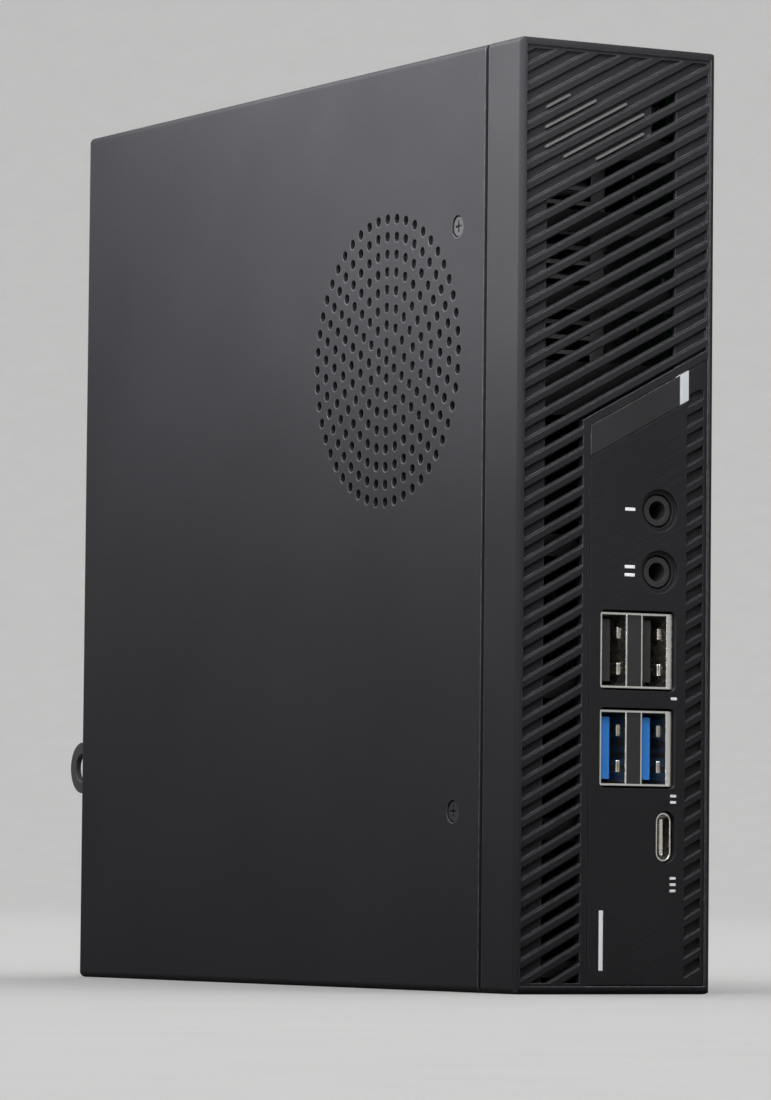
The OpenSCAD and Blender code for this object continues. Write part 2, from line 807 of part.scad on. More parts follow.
// A stack of two sockets between the depths y, open at the end nearer to mouth
module usb_shell(z, y, mouth) {
    difference() {
        block([usb_low[0] - 0.4, board_x], y, [z - 6.95, z + 6.95]);
        for (x = usb_low)
            block([x, x + usb_h], [min(mouth, y[0] + 0.5), max(mouth, y[1] - 0.5)],
                [z - usb_w / 2, z + usb_w / 2]);
    }
}
module front_usb_shells() {
    color("silver")
        for (z = [usb2_z, usb3_z])
            usb_shell(z, [port_front, port_front + 17.5], port_front - 1);
}
// The tongue stands off the wall, on a block that closes the back of the socket
module usb_insulator(x, z, front, back) {
    way = sign(back - front);
    tip = front + way;
    root = front + 14.6 * way;
    block([x + 0.5, x + 2.35], [min(tip, root), max(tip, root)], [z - 5.7, z + 5.7]);
    block([x, x + usb_h], [min(root, back), max(root, back)], [z - usb_w / 2, z + usb_w / 2]);
}
module front_usb_insulators(z, tone) {
    color(tone) for (x = usb_low) usb_insulator(x, z, port_front, port_front + 17);
}
module usb2_insulators() { front_usb_insulators(usb2_z, [0.1, 0.1, 0.1]); }
module usb3_insulators() { front_usb_insulators(usb3_z, "steelblue"); }
module usb_c_port() {
    color("silver") {
        difference() {
            along_y([port_front, port_front + 7.5])
                translate([usbc_x, usbc_z]) stadium(8.94, 1.63);
            along_y([port_front - 1, port_front + 6.5])
                translate([usbc_x, usbc_z]) stadium(8.34, 1.33);
        }
        block(
            [usbc_x - 0.35, usbc_x + 0.35], [port_front + 0.8, port_front + 7],
            [usbc_z - 3.3, usbc_z + 3.3]
        );
    }
}

// ---- Rear ports ----
module dc_jack() {
    color([0.1, 0.1, 0.1])
        difference() {
            block([2, board_x], [port_rear - 14, port_rear], [dc_z - 5, dc_z + 5]);
            rod_y(3.2, [port_rear - 10, port_rear + 1], [7.5, dc_z]);
        }
    color("silver") rod_y(1.2, [port_rear - 10.5, port_rear - 1], [7.5, dc_z]);
}
module hdmi_port() {
    color("silver") {
        difference() {
            block([7.3, board_x], [port_rear - 11.5, port_rear], [hdmi_z - 7.5, hdmi_z + 7.5]);
            along_y([port_rear - 10, port_rear + 1])
                polygon([[7.8, hdmi_z - 7], [7.8, hdmi_z + 7], [10.6, hdmi_z + 7],
                    [12.4, hdmi_z + 5.4], [12.4, hdmi_z - 5.4], [10.6, hdmi_z - 7]]);
        }
        block([9.4, 10.6], [port_rear - 10.5, port_rear - 1], [hdmi_z - 5, hdmi_z + 5]);
    }
}
module displayport() {
    color("silver") {
        difference() {
            block([6.6, board_x], [port_rear - 12, port_rear], [dp_z - 8.5, dp_z + 8.5]);
            along_y([port_rear - 10.5, port_rear + 1])
                polygon([[7.2, dp_z - 8], [7.2, dp_z + 8], [12.2, dp_z + 8],
                    [12.2, dp_z - 6.4], [10.6, dp_z - 8]]);
        }
        block([9.1, 10.3], [port_rear - 11, port_rear - 1.2], [dp_z - 6, dp_z + 6]);
    }
}
module lan_port() {
    color("silver")
        difference() {
            block([-0.5, board_x], [port_rear - 21, port_rear], [lan_z - 8, lan_z + 8]);
            block([3.3, 11.3], [port_rear - 13, port_rear + 1], [lan_z - 5.9, lan_z + 5.9]);
            block([1.3, 4], [port_rear - 13, port_rear + 1], [lan_z - 2, lan_z + 2]);
        }
}
module rear_usb_shells() {
    color("silver")
        for (z = rear_usb_z) usb_shell(z, [port_rear - 17.5, port_rear], port_rear + 1);
}
module rear_usb_insulators() {
    color("steelblue")
        for (z = rear_usb_z, x = usb_low) usb_insulator(x, z, port_rear, port_rear - 17);
}
module option_cover() {
    color([0.15, 0.15, 0.16]) {
        along_y([rear_in - sheet, rear_in])
            difference() {
                rounded([option_x - 6.2, option_z - 19.5], [option_x + 6.2, option_z + 19.5], 1);
                for (z = [-16.5, 16.5]) translate([option_x, option_z + z]) circle(1.4);
            }
        along_y([rear_in, yr - 0.1])
            rounded([option_x - 4.8, option_z - 12.8], [option_x + 4.8, option_z + 12.8], 0.9);
        for (z = [-16.5, 16.5]) {
            rod_y(1.3, [rear_in - 2.5, yr], [option_x, option_z + z]);
            rod_y(2.6, [yr, yr + 1.2], [option_x, option_z + z]);
        }
    }
}

// ---- Drive ----
module drive_tray() {
    y0 = drive_at[1] - 1;
    y1 = drive_at[1] + drive[1] + 1;
    color("gainsboro")
        difference() {
            union() {
                block([tray_x - sheet, tray_x], [y0, y1], [pan_z0 + sheet, 102]);
                for (y = [[y0, y0 + sheet], [y1 - sheet, y1]])
                    block([-18.5, tray_x], y, [8, 98]);
                block([-18.5, tray_x], [8, 62], [pan_z0 + sheet, pan_z0 + 2 * sheet]);
                for (at = tray_posts) rod_x(2.5, [tray_x, board_x], at);
            }
            for (i = [0 : 2]) block([tray_x - 2, tray_x + 1], [16, 54], [16 + i * 26, 34 + i * 26]);
        }
}
module storage_drive() {
    color("silver")
        block([drive_at[0], drive_at[0] + drive[0]],
            [drive_at[1], drive_at[1] + drive[1]],
            [drive_at[2], drive_at[2] + drive[2]]);
}

top_cover();
base_pan();
rear_wall();
io_shield();
padlock_loop();
front_bezel();
port_plate();
power_button();
button_light();
rib_light_strips();
front_shield();
cover_screws();
rubber_feet();
vesa_inserts();
motherboard();
board_standoffs();
board_screws();
cpu_socket();
cpu();
socket_frame();
cooler_backplate();
heatsink();
cooler_screws();
fan_frame();
fan_rotor();
fan_screws();
fan_cable();
memory_sockets();
memory_modules();
memory_latch_1();
memory_latch_2();
memory_latch_3();
memory_latch_4();
m2_sockets();
solid_state_drive();
m2_screws();
wifi_card();
wifi_antennas();
antenna_cables();
chipset_heatsink();
coin_battery();
battery_holder();
inductors();
capacitors();
power_switch();
switch_plunger();
audio_jacks();
front_usb_shells();
usb2_insulators();
usb3_insulators();
usb_c_port();
dc_jack();
hdmi_port();
displayport();
lan_port();
rear_usb_shells();
rear_usb_insulators();
option_cover();
drive_tray();
storage_drive();
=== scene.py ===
"""The looks of an upright mini PC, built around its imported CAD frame. Lengths are in metres."""

import json
import math
import random

import bmesh
import bpy
from mathutils import Matrix, Vector

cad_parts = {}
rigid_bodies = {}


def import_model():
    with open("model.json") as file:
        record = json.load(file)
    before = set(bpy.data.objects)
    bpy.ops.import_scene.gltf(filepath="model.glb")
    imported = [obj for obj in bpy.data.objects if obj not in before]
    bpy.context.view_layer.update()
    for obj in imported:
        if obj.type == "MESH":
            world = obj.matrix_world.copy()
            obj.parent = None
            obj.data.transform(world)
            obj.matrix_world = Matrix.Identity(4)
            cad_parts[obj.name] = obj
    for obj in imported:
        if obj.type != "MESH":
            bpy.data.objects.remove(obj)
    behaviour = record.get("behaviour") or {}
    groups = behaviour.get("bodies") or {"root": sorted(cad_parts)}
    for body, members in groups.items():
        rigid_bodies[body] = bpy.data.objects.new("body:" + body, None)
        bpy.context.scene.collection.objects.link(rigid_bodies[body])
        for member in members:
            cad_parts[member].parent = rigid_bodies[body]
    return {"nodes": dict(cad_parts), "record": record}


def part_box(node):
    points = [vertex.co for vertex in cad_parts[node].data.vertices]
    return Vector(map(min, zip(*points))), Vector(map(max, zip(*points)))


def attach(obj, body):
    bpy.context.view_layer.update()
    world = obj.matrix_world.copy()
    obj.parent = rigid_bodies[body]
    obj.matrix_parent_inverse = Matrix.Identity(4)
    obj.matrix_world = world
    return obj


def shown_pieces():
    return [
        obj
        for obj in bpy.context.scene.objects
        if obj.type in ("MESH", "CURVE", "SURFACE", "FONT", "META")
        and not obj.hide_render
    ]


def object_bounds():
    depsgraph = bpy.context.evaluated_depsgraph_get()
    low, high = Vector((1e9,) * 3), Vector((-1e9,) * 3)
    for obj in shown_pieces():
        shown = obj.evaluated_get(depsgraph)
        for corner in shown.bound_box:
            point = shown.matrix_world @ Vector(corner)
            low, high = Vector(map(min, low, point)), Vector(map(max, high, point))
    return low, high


MM = 0.001
SLOPE = math.atan(0.53)

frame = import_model()
cad_low, cad_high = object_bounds()


# ---- Materials ----
class Shader:
    """A principled material with short calls for its nodes."""

    def __init__(self, name):
        self.mat = bpy.data.materials.new(name)
        self.mat.use_nodes = True
        self.tree = self.mat.node_tree
        self.tree.nodes.clear()
        out = self.tree.nodes.new("ShaderNodeOutputMaterial")
        self.bsdf = self.tree.nodes.new("ShaderNodeBsdfPrincipled")
        self.tree.links.new(self.bsdf.outputs[0], out.inputs[0])
        self.coords = self.tree.nodes.new("ShaderNodeTexCoord").outputs["Object"]

    def node(self, kind, **settings):
        made = self.tree.nodes.new("ShaderNode" + kind)
        for key, value in settings.items():
            setattr(made, key, value)
        return made

    def link(self, source, target):
        self.tree.links.new(source, target)

    def noise(self, scale, detail=3.0, coords=None, rough=0.55):
        n = self.node("TexNoise")
        n.inputs["Scale"].default_value = scale
        n.inputs["Detail"].default_value = detail
        n.inputs["Roughness"].default_value = rough
        self.link(coords or self.coords, n.inputs["Vector"])
        return n.outputs[0]

    def stretched(self, turn, scale):
        """Coordinates turned by Euler angles, then scaled along each axis."""
        spin = self.node("Mapping")
        spin.inputs["Rotation"].default_value = turn
        self.link(self.coords, spin.inputs["Vector"])
        pull = self.node("Mapping")
        pull.inputs["Scale"].default_value = scale
        self.link(spin.outputs[0], pull.inputs["Vector"])
        return pull.outputs[0]

    def span(self, value, low, high, start=0.3, end=0.7):
        m = self.node("MapRange")
        for key, number in zip(
            ("From Min", "From Max", "To Min", "To Max"), (start, end, low, high)
        ):
            m.inputs[key].default_value = number
        self.link(value, m.inputs["Value"])
        return m.outputs[0]

    def blend(self, factor, a, b):
        """A colour between a and b, each a colour or a socket."""
        m = self.node("Mix", data_type="RGBA")
        self.link(factor, m.inputs[0])
        for socket, colour in ((m.inputs[6], a), (m.inputs[7], b)):
            if isinstance(colour, tuple):
                socket.default_value = (*colour, 1)
            else:
                self.link(colour, socket)
        return m.outputs[2]

    def edges(self, radius):
        """The rounded normal near edges, and 0 on flat faces to 1 on an edge."""
        bevel = self.node("Bevel", samples=4)
        bevel.inputs["Radius"].default_value = radius
        plain = self.node("NewGeometry")
        dot = self.node("VectorMath", operation="DOT_PRODUCT")
        self.link(bevel.outputs[0], dot.inputs[0])
        self.link(plain.outputs["Normal"], dot.inputs[1])
        return bevel.outputs[0], self.span(dot.outputs["Value"], 1, 0, 0.8, 0.99)


def tint(colour, factor):
    return tuple(min(1.0, c * factor) for c in colour)


def surface(
    name,
    tone,
    rough=0.5,
    metal=0.0,
    spread=0.15,
    vary=0.06,
    patch=40,
    grain=2500,
    bump=0.2,
    depth=0.03,
    round_mm=0.2,
    edge_light_and_wear=None,
    lines=None,
    **sockets,
):
    """Mottled colour, uneven gloss, fine relief, rounded edges, and edges lighter in colour: partly
    worn paint and partly a painted highlight.
    """
    s = Shader(name)
    mottled = s.noise(patch, 4)
    fine = s.noise(grain, 2)
    colour = s.blend(
        s.span(mottled, 0, 1), tint(tone, 1 - spread), tint(tone, 1 + spread)
    )
    height = fine
    if lines:
        turn, scale, share = lines
        streaks = s.noise(1, 3, s.stretched(turn, scale), 0.7)
        colour = s.blend(s.span(streaks, 0, share), colour, tint(tone, 1.6))
        height = streaks
    normal, edge = s.edges(round_mm * MM)
    # Every edge is lightened at least part way and more in patches: partly wear, partly a painted
    # highlight where edges catch the light.
    if edge_light_and_wear:
        lit_and_worn_edges = s.node("Math", operation="MULTIPLY")
        s.link(edge, lit_and_worn_edges.inputs[0])
        s.link(s.span(s.noise(700, 3), 0.45, 1, 0.4, 0.65), lit_and_worn_edges.inputs[1])
        colour = s.blend(lit_and_worn_edges.outputs[0], colour, edge_light_and_wear)
    s.link(colour, s.bsdf.inputs["Base Color"])
    smudge = s.span(s.noise(22, 5), rough - vary, rough + vary)
    grit = s.node("Math", operation="ADD")
    s.link(smudge, grit.inputs[0])
    s.link(s.span(fine, -vary / 2, vary / 2), grit.inputs[1])
    s.link(grit.outputs[0], s.bsdf.inputs["Roughness"])
    relief = s.node("Bump")
    relief.inputs["Strength"].default_value = bump
    relief.inputs["Distance"].default_value = depth * MM
    s.link(height, relief.inputs["Height"])
    s.link(normal, relief.inputs["Normal"])
    s.link(relief.outputs[0], s.bsdf.inputs["Normal"])
    s.bsdf.inputs["Metallic"].default_value = metal
    for key, value in sockets.items():
        s.bsdf.inputs[key.replace("_", " ")].default_value = value
    return s


def laminate(name, mask, trace):
    """Solder mask with fainter copper tracks under it, and plated dots."""
    s = surface(name, mask, 0.38, grain=1500, bump=0.1, spread=0.1)
    tracks = s.node(
        "TexVoronoi", feature="F1", distance="CHEBYCHEV", voronoi_dimensions="3D"
    )
    tracks.inputs["Scale"].default_value = 320
    s.link(s.coords, tracks.inputs["Vector"])
    rings = s.node("Math", operation="PINGPONG")
    s.link(tracks.outputs["Distance"], rings.inputs[0])
    rings.inputs[1].default_value = 0.12
    lines = s.span(rings.outputs[0], 0, 1, 0.05, 0.08)
    base = s.bsdf.inputs["Base Color"].links[0].from_socket
    routed = s.blend(lines, base, trace)
    holes = s.node("TexVoronoi", feature="F1")
    holes.inputs["Scale"].default_value = 260
    s.link(s.coords, holes.inputs["Vector"])
    dots = s.span(holes.outputs["Distance"], 1, 0, 0.10, 0.14)
    s.link(s.blend(dots, routed, (0.55, 0.47, 0.28)), s.bsdf.inputs["Base Color"])
    return s


def glowing(name, tone, strength):
    s = surface(name, tone, 0.35, grain=1800, bump=0.05, spread=0.04)
    s.bsdf.inputs["Emission Color"].default_value = (*tone, 1)
    s.bsdf.inputs["Emission Strength"].default_value = strength
    return s


SLANT = ((0, SLOPE, 0), (60, 400, 3800), 0.7)
BRUSH_Z = ((0, 0, 0), (2600, 2600, 40), 0.3)
BRUSH_Y = ((0, 0, 0), (2600, 40, 2600), 0.3)

# The lighter edge colour in each look is partly wear and partly a painted highlight on the edges.
LOOKS = {
    "cover_paint": lambda n: surface(
        n, (0.009, 0.009, 0.01), 0.48, spread=0.1, patch=18, grain=2300, bump=0.32,
        depth=0.05, round_mm=0.3, edge_light_and_wear=(0.08, 0.08, 0.085), Specular_IOR_Level=0.02,
    ),
    "pan_paint": lambda n: surface(
        n, (0.017, 0.017, 0.018), 0.5, spread=0.1, patch=18, grain=2000, bump=0.35,
        depth=0.05, round_mm=0.25, edge_light_and_wear=(0.08, 0.08, 0.08), Specular_IOR_Level=0.12,
    ),
    "bezel_plastic": lambda n: surface(
        n, (0.009, 0.009, 0.0098), 0.45, spread=0.12, patch=26, grain=3200, bump=0.25,
        round_mm=0.22, edge_light_and_wear=(0.075, 0.075, 0.08), Specular_IOR_Level=0.02,
    ),
    "plate_plastic": lambda n: surface(
        n, (0.0052, 0.0052, 0.0058), 0.42, spread=0.15, bump=0.9, depth=0.1,
        round_mm=0.15, edge_light_and_wear=(0.03, 0.03, 0.03), lines=SLANT, Specular_IOR_Level=0.1,
    ),
    "button_plastic": lambda n: surface(
        n, (0.01, 0.01, 0.0107), 0.42, grain=3200, bump=0.12, round_mm=0.2,
        edge_light_and_wear=(0.09, 0.09, 0.09), Specular_IOR_Level=0.16,
    ),
    "light_guide": lambda n: glowing(n, (0.15, 0.158, 0.166), 0.9),
    "zinc_steel": lambda n: surface(
        n, (0.42, 0.42, 0.41), 0.4, 1.0, patch=120, lines=BRUSH_Z, bump=0.15,
        edge_light_and_wear=(0.6, 0.6, 0.6),
    ),
    "nickel_steel": lambda n: surface(
        n, (0.66, 0.65, 0.62), 0.24, 1.0, spread=0.06, patch=150, grain=1200, bump=0.06,
        round_mm=0.12, edge_light_and_wear=(0.85, 0.85, 0.83),
    ),
    "screw_steel": lambda n: surface(
        n, (0.035, 0.035, 0.037), 0.42, 0.6, patch=300, grain=1500, bump=0.1, round_mm=0.1,
        edge_light_and_wear=(0.12, 0.12, 0.12),
    ),
    "foot_rubber": lambda n: surface(
        n, (0.018, 0.018, 0.018), 0.85, spread=0.2, grain=1400, bump=0.5, depth=0.06,
        edge_light_and_wear=(0.05, 0.05, 0.05),
    ),
    "insert_brass": lambda n: surface(
        n, (0.62, 0.44, 0.17), 0.32, 1.0, patch=200, grain=900, bump=0.1,
        edge_light_and_wear=(0.8, 0.65, 0.35),
    ),
    "board_laminate": lambda n: laminate(n, (0.008, 0.03, 0.016), (0.016, 0.055, 0.028)),
    "black_plastic": lambda n: surface(
        n, (0.009, 0.009, 0.0092), 0.48, grain=2200, bump=0.25, edge_light_and_wear=(0.03, 0.03, 0.03),
        Specular_IOR_Level=0.25,
    ),
    "heat_spreader": lambda n: surface(
        n, (0.6, 0.59, 0.57), 0.33, 1.0, lines=BRUSH_Y, bump=0.12, edge_light_and_wear=(0.75, 0.75, 0.74)
    ),
    "fin_aluminium": lambda n: surface(
        n, (0.16, 0.16, 0.165), 0.36, 1.0, lines=BRUSH_Z, bump=0.15, round_mm=0.1,
        edge_light_and_wear=(0.28, 0.28, 0.28),
    ),
    "blue_plastic": lambda n: surface(
        n, (0.011, 0.085, 0.26), 0.4, spread=0.08, grain=2400, bump=0.12,
        edge_light_and_wear=(0.03, 0.13, 0.34), round_mm=0.12, Specular_IOR_Level=0.25,
    ),
    "antenna_foil": lambda n: surface(
        n, (0.7, 0.52, 0.26), 0.3, 1.0, patch=160, grain=700, bump=0.3, depth=0.08,
        edge_light_and_wear=(0.8, 0.66, 0.4),
    ),
    "cable_jacket": lambda n: surface(
        n, (0.02, 0.02, 0.021), 0.42, grain=1800, bump=0.2, edge_light_and_wear=(0.05, 0.05, 0.05)
    ),
    "ferrite": lambda n: surface(
        n, (0.075, 0.078, 0.085), 0.6, patch=200, grain=1500, bump=0.4, depth=0.06,
        edge_light_and_wear=(0.2, 0.2, 0.2),
    ),
    "can_aluminium": lambda n: surface(
        n, (0.66, 0.66, 0.67), 0.28, 1.0, patch=200, grain=1300, bump=0.1,
        edge_light_and_wear=(0.8, 0.8, 0.8),
    ),
    "white_plastic": lambda n: surface(
        n, (0.68, 0.67, 0.63), 0.45, spread=0.04, grain=2000, bump=0.15,
        edge_light_and_wear=(0.8, 0.8, 0.77),
    ),
}
looks = {name: build(name).mat for name, build in LOOKS.items()}
looks["contact_gold"] = surface(
    "contact_gold", (0.85, 0.62, 0.26), 0.24, 1.0, grain=1600, bump=0.08, round_mm=0.06
).mat
looks["print_white"] = surface(
    "print_white", (0.36, 0.36, 0.37), 0.5, spread=0.06, grain=3000, bump=0.2
).mat
# The rib strips glow though they hold no lamp: the glow is a painted highlight of the lit rib
# edges.
looks["strip_smoke"] = glowing("strip_smoke", (0.018, 0.018, 0.0172), 4.5).mat
looks["screw_black"] = surface(
    "screw_black", (0.011, 0.011, 0.012), 0.42, grain=1700, bump=0.12,
    edge_light_and_wear=(0.035, 0.035, 0.035), Specular_IOR_Level=0.06,
).mat

SLOT_OF = {part["node"]: part["material_slot"] for part in frame["record"]["subparts"]}
for name, obj in frame["nodes"].items():
    obj.data.materials.clear()
    obj.data.materials.append(looks[SLOT_OF[name]])
# The glowing strip material paints a highlight onto the rib strips.
frame["nodes"]["rib_light_strips"].data.materials[0] = looks["strip_smoke"]
frame["nodes"]["cover_screws"].data.materials[0] = looks["screw_black"]


# ---- Pieces ----
def piece(name, mesh, look, body="case", bevel=0.0, smooth=30):
    """One detail piece, bevelled and riding on its CAD body. Lengths of bevel are in mm."""
    obj = bpy.data.objects.new(name, mesh)
    bpy.context.scene.collection.objects.link(obj)
    mesh.materials.append(looks[look])
    mesh.shade_smooth()
    mesh.set_sharp_from_angle(angle=math.radians(smooth))
    if bevel:
        round_off = obj.modifiers.new("round", "BEVEL")
        round_off.width = bevel * MM
        round_off.segments = 2
        round_off.limit_method = "ANGLE"
        round_off.angle_limit = math.radians(35)
        round_off.harden_normals = True
    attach(obj, body)
    return obj


def finished(name, bm):
    """The mesh of a bmesh, which is freed."""
    mesh = bpy.data.meshes.new(name)
    bm.to_mesh(mesh)
    bm.free()
    return mesh


def boxes(name, rows):
    """One mesh of closed boxes. Each row is (low corner, high corner) in metres."""
    bm = bmesh.new()
    for low, high in rows:
        low, high = Vector(low), Vector(high)
        grown = bmesh.ops.create_cube(bm, size=1)["verts"]
        bmesh.ops.scale(bm, vec=high - low, verts=grown)
        bmesh.ops.translate(bm, vec=(low + high) / 2, verts=grown)
    return finished(name, bm)


def prism(bm, near, far):
    """A closed prism between two matching outlines of points."""
    near = [bm.verts.new(point) for point in near]
    far = [bm.verts.new(point) for point in far]
    bm.faces.new(near)
    bm.faces.new(far[::-1])
    for i in range(len(near)):
        j = (i + 1) % len(near)
        bm.faces.new((near[i], far[i], far[j], near[j]))


# USB-A sockets, in mm
MOUTH_WIDTH = 5.2
TONGUE_FACE = 2.35
HALF_TONGUE = 6.55
ONE_STACK = 20


def usb_details(tag, node, way, five):
    """Contacts on each tongue and springs in each shell. way is +1 for a mouth towards -Y."""
    low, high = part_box(node)
    pads, springs = [], []
    mid = (low.z + high.z) / 2
    tip = low.y if way > 0 else high.y
    if high.z - low.z < ONE_STACK * MM:
        stacks = [mid]
    else:
        stacks = [low.z + HALF_TONGUE * MM, high.z - HALF_TONGUE * MM]

    def along(a, b):
        return sorted((tip + way * a * MM, tip + way * b * MM))

    for z in stacks:
        for x in (low.x, high.x - MOUTH_WIDTH * MM):
            face = x + TONGUE_FACE * MM
            near, far = along(0.9, 9.5)
            for k in (-3.5, -1, 1, 3.5):
                c = z + k * MM
                pads.append(((face - 0.02 * MM, near, c - 0.5 * MM),
                             (face + 0.1 * MM, far, c + 0.5 * MM)))
            if five:
                near, far = along(0.15, 0.75)
                for k in (-4, -2, 0, 2, 4):
                    c = z + k * MM
                    pads.append(((face - 0.02 * MM, near, c - 0.35 * MM),
                                 (face + 0.08 * MM, far, c + 0.35 * MM)))
            wall = x + MOUTH_WIDTH * MM
            near, far = along(1.5, 7.5)
            for k in (-3.3, 3.3):
                c = z + k * MM
                springs.append(((wall - 0.45 * MM, near, c - 1.1 * MM),
                                (wall + 0.02 * MM, far, c + 1.1 * MM)))
    near, far = along(-1.06, -0.2)
    covers = [((low.x + 5.45 * MM, near, z - 6.6 * MM), (high.x - 5.45 * MM, far, z + 6.6 * MM))
              for z in stacks]
    piece(tag + "_dividers", boxes(tag + "_dividers", covers), "black_plastic",
          bevel=0.15)
    piece(tag + "_contacts", boxes(tag + "_contacts", pads), "contact_gold",
          bevel=0.04)
    piece(tag + "_springs", boxes(tag + "_springs", springs), "nickel_steel",
          bevel=0.2)


usb_details("usb2", "usb2_insulators", 1, False)
usb_details("usb3", "usb3_insulators", 1, True)
usb_details("rear_usb", "rear_usb_insulators", -1, True)


def tongue_pads(tag, x_pair, y_pair, z_mid, count, pitch, width):
    """Contacts on both faces of a flat tongue."""
    rows = []
    for k in range(count):
        c = z_mid + (k - (count - 1) / 2) * pitch * MM
        for x, out in ((x_pair[0], -1), (x_pair[1], 1)):
            a, b = sorted((x - out * 0.02 * MM, x + out * 0.06 * MM))
            rows.append(((a, y_pair[0], c - width * MM / 2), (b, y_pair[1], c + width * MM / 2)))
    piece(tag, boxes(tag, rows), "contact_gold")


low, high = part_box("usb_c_port")
mid = (low + high) / 2
tongue_pads("usb_c_contacts", (mid.x - 0.35 * MM, mid.x + 0.35 * MM),
            (low.y + 1.1 * MM, low.y + 5 * MM), mid.z, 12, 0.5, 0.26)
low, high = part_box("hdmi_port")
tongue_pads("hdmi_contacts", (low.x + 2.1 * MM, low.x + 3.3 * MM),
            (high.y - 9 * MM, high.y - 1.5 * MM), (low.z + high.z) / 2, 10, 0.95, 0.45)
low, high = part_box("displayport")
tongue_pads("displayport_contacts", (low.x + 2.5 * MM, low.x + 3.7 * MM),
            (high.y - 9 * MM, high.y - 1.7 * MM), (low.z + high.z) / 2, 10, 1.05, 0.5)

# Network socket: dark liner, eight sprung wires and two indicator windows
low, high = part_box("lan_port")
mid_z = (low.z + high.z) / 2
liner = []
for z0, z1 in ((-5.9, -5.6), (5.6, 5.9)):
    liner.append(((low.x + 3.82 * MM, high.y - 12.6 * MM, mid_z + z0 * MM),
                  (low.x + 11.78 * MM, high.y - 0.3 * MM, mid_z + z1 * MM)))
liner.append(((low.x + 11.5 * MM, high.y - 12.6 * MM, mid_z - 5.6 * MM),
              (low.x + 11.8 * MM, high.y - 0.3 * MM, mid_z + 5.6 * MM)))
liner.append(((low.x + 3.82 * MM, high.y - 13 * MM, mid_z - 5.6 * MM),
              (low.x + 11.5 * MM, high.y - 12.6 * MM, mid_z + 5.6 * MM)))
piece("lan_liner", boxes("lan_liner", liner), "black_plastic")
wires = bmesh.new()
for k in range(8):
    c = mid_z + (k - 3.5) * 1.02 * MM
    path = [(11.4, -12), (11.4, -7), (8.6, -2.6), (8.3, -2.7), (11.1, -7.2), (11.1, -12)]
    prism(
        wires,
        [(low.x + x * MM, high.y + y * MM, c - 0.17 * MM) for x, y in path],
        [(low.x + x * MM, high.y + y * MM, c + 0.17 * MM) for x, y in path],
    )
bmesh.ops.recalc_face_normals(wires, faces=wires.faces)
piece("lan_wires", finished("lan_wires", wires), "contact_gold")
windows = [((low.x + 0.9 * MM, high.y - 0.5 * MM, mid_z + s * MM - 1.2 * MM),
            (low.x + 2.6 * MM, high.y + 0.05 * MM, mid_z + s * MM + 1.2 * MM))
           for s in (-5.3, 5.3)]
piece("lan_windows", boxes("lan_windows", windows), "light_guide", bevel=0.15)

# Audio jacks: a bright sprung contact in each barrel
low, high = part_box("audio_jacks")
jack_x = (low.x + high.x - 3.45 * MM) / 2
jack_z = {"headphone": low.z + 3.4 * MM, "mic": high.z - 3.4 * MM}
for tag, z in jack_z.items():
    spring = [((jack_x - 0.5 * MM, low.y + 3 * MM, z - 1.78 * MM),
               (jack_x + 0.5 * MM, low.y + 5.5 * MM, z - 1.45 * MM))]
    piece(tag + "_contact", boxes(tag + "_contact", spring), "contact_gold",
          bevel=0.1)

# Plain marks beside the sockets. They carry no lettering.
plate_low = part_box("port_plate")[0]
skin = (plate_low.y - 0.03 * MM, plate_low.y + 0.02 * MM)


def upright(x, z, width, height):
    return ((x - width / 2, skin[0], z - height / 2), (x + width / 2, skin[1], z + height / 2))


marks = []
for tag, bars in (("mic", (0,)), ("headphone", (-0.75, 0.75))):
    for off in bars:
        marks.append(upright(3.1 * MM, jack_z[tag] + off * MM, 2.2 * MM, 0.6 * MM))
for node, drop, count in (
    ("usb2_insulators", 8.7, 1), ("usb3_insulators", 8.7, 2), ("usb_c_port", 7.6, 3)
):
    low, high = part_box(node)
    for k in range(count):
        z = (low.z + high.z) / 2 - (drop + k * 1.15) * MM
        marks.append(upright(12.9 * MM, z, 1.3 * MM, 0.5 * MM))
marks.append(upright(-2.6 * MM, 9.8 * MM, 0.9 * MM, 11 * MM))
piece("plain_marks", boxes("plain_marks", marks), "print_white")

# Light that leaks along the gap above the button's outer end
low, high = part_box("button_light")
glow = bmesh.new()
top = high.z - 1.04 * MM
outline = [(-1, 0), (0, 0), (0, 0.18), (-1, 0.18)]
prism(glow, *(
    [(low.x + x * MM, y, top + (x * math.tan(SLOPE) + up) * MM) for x, up in outline]
    for y in (low.y - 0.03 * MM, low.y + 0.25 * MM)
))
bmesh.ops.recalc_face_normals(glow, faces=glow.faces)
piece("button_glow", finished("button_glow", glow), "light_guide")

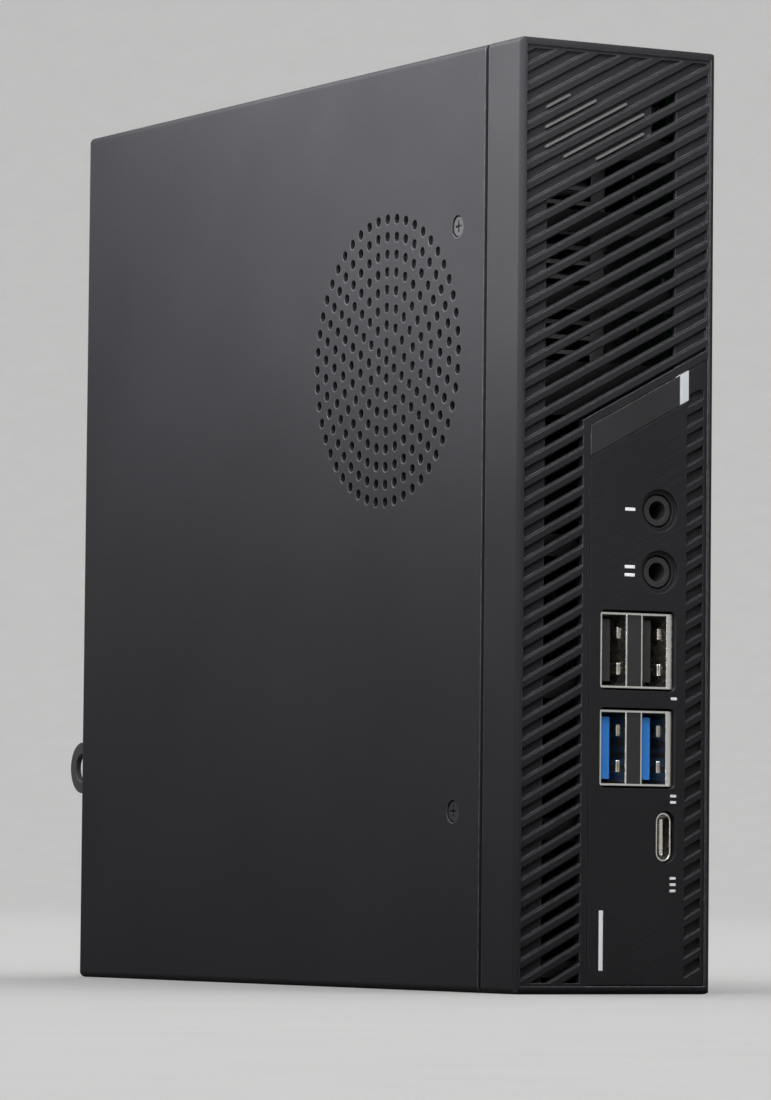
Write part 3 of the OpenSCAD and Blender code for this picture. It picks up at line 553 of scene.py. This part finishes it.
# Small parts scattered over the free outer strips of the board
low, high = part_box("motherboard")
taken = [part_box(n) for n in frame["nodes"]
         if n != "motherboard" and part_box(n)[1].x > low.x - 3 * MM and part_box(n)[0].x < low.x
         and n not in ("top_cover", "base_pan", "rear_wall", "io_shield", "front_bezel",
                       "front_shield", "port_plate")]
dice = random.Random(7)
chips, caps = [], []
tries = 0
while len(chips) + len(caps) < 420 and tries < 20000:
    tries += 1
    w, h, t = dice.choice(((0.8, 1.6, 0.6), (0.5, 1.0, 0.4), (1.6, 0.8, 0.6), (3, 4.9, 1.1)))
    y = dice.uniform(low.y + 3 * MM, high.y - 3 * MM)
    z = dice.uniform(low.z + 3 * MM, high.z - 3 * MM)
    a = Vector((low.x - t * MM, y - w * MM / 2, z - h * MM / 2))
    b = Vector((low.x + 0.02 * MM, y + w * MM / 2, z + h * MM / 2))
    clear = all(
        a.y > q.y + 0.3 * MM or b.y < p.y - 0.3 * MM or a.z > q.z + 0.3 * MM or b.z < p.z - 0.3 * MM
        for p, q in taken
    )
    if clear:
        (chips if w == 3 else caps).append((a, b))
        taken.append((a, b))
piece("board_chips", boxes("board_chips", chips), "black_plastic", bevel=0.08)
piece("board_chip_capacitors", boxes("board_chip_capacitors", caps), "ferrite")


# ---- Studio ----
def aimed(obj, place, target, roll=0.0):
    obj.location = place
    aim = (Vector(target) - Vector(place)).to_track_quat("-Z", "Y")
    obj.rotation_euler = (aim.to_matrix() @ Matrix.Rotation(math.radians(roll), 3, "Z")).to_euler()
    bpy.context.scene.collection.objects.link(obj)
    return obj


centre = (cad_low + cad_high) / 2

# Each lamp lights a set of things: the outer parts, the floor, or both. Inner CAD nodes are in
# neither, so only light from the sky and the floor's glow reaches them behind the vents.
lit = bpy.data.collections.new("lit_parts")
inside = set(frame["record"]["physics"]["no_collision_nodes"])
inside -= {"button_light", "rib_light_strips", "cover_screws"}
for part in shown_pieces():
    if part.name not in inside:
        lit.objects.link(part)
ground_only = bpy.data.collections.new("lit_floor")
skin_and_floor = bpy.data.collections.new("lit_parts_and_floor")
for part in lit.objects:
    skin_and_floor.objects.link(part)


def softbox(name, place, size, power, colour=(1, 1, 1), target=None, only=None):
    data = bpy.data.lights.new(name, "AREA")
    data.shape = "RECTANGLE"
    data.size, data.size_y = size
    data.energy = power
    data.color = colour
    lamp = aimed(bpy.data.objects.new(name, data), place, target or centre)
    lamp.visible_camera = False
    if only:
        lamp.light_linking.receiver_collection = only
    return lamp


softbox("key_strip", (-0.0709, -0.06, 0.1849), (0.4, 0.16), 2.1, (0.985, 0.97, 1),
        (-0.02, -0.06, 0.1458), lit)
softbox("front_strip", (-0.06, -0.27, 0.33), (0.3, 0.06), 1.1, target=(0, -0.09, 0.12),
        only=lit)
softbox("edge_strip", (-1.1, -0.63, 0.2), (0.12, 0.9), 6, only=lit)
softbox("rear_left_box", (-0.75, 1.0, 0.95), (0.6, 0.6), 1.4, (0.97, 0.97, 1), only=lit)
softbox("right_box", (1.3, -0.5, 0.8), (0.4, 0.9), 0.9, only=lit)
softbox("overhead", (0.0, 0.0, 4.6), (9, 9), 135, only=skin_and_floor)
softbox("floor_wash", (0.0, 0.0, 4.5), (9, 9), 190, only=ground_only)

# A flat floor that curves up into a wall all round
FLAT_RADIUS = 3.2
COVE_RADIUS = 2.4
SEGMENTS = 96
profile = [(FLAT_RADIUS, 0.0)]
for degrees in range(5, 91, 5):
    bend = math.radians(degrees)
    profile.append((
        FLAT_RADIUS + COVE_RADIUS * math.sin(bend),
        COVE_RADIUS - COVE_RADIUS * math.cos(bend),
    ))
ground = bmesh.new()
rings = []
for radius, z in profile:
    turns = [k * math.pi / (SEGMENTS / 2) for k in range(SEGMENTS)]
    rings.append([
        ground.verts.new((radius * math.cos(turn), radius * math.sin(turn), z)) for turn in turns
    ])
ground.faces.new(rings[0])
for inner, outer in zip(rings, rings[1:]):
    for k in range(SEGMENTS):
        after = (k + 1) % SEGMENTS
        ground.faces.new((inner[k], outer[k], outer[after], inner[after]))
mesh = finished("studio_floor", ground)
mesh.shade_smooth()
floor = bpy.data.objects.new("studio_floor", mesh)
floor.location.z = cad_low.z
bpy.context.scene.collection.objects.link(floor)
mesh.materials.append(
    surface("floor_paint", (0.72, 0.72, 0.715), 0.9, spread=0.015, grain=400, bump=0.03,
            Specular_IOR_Level=0.0).mat
)
ground_only.objects.link(floor)
skin_and_floor.objects.link(floor)

world = bpy.data.worlds.new("studio")
world.use_nodes = True
world.node_tree.nodes["Background"].inputs[0].default_value = (0.86, 0.87, 0.88, 1)
world.node_tree.nodes["Background"].inputs[1].default_value = 0.1
bpy.context.scene.world = world
bpy.context.scene.view_settings.view_transform = "Standard"

lens = bpy.data.cameras.new("camera")
lens.sensor_width = 36
lens.lens = 188
lens.clip_start, lens.clip_end = 0.05, 50
camera = aimed(
    bpy.data.objects.new("camera", lens),
    (-0.55905, -0.98168, 0.01938),
    (0.001, 0.0, centre.z - 0.002),
    0.56,
)
bpy.context.scene.camera = camera
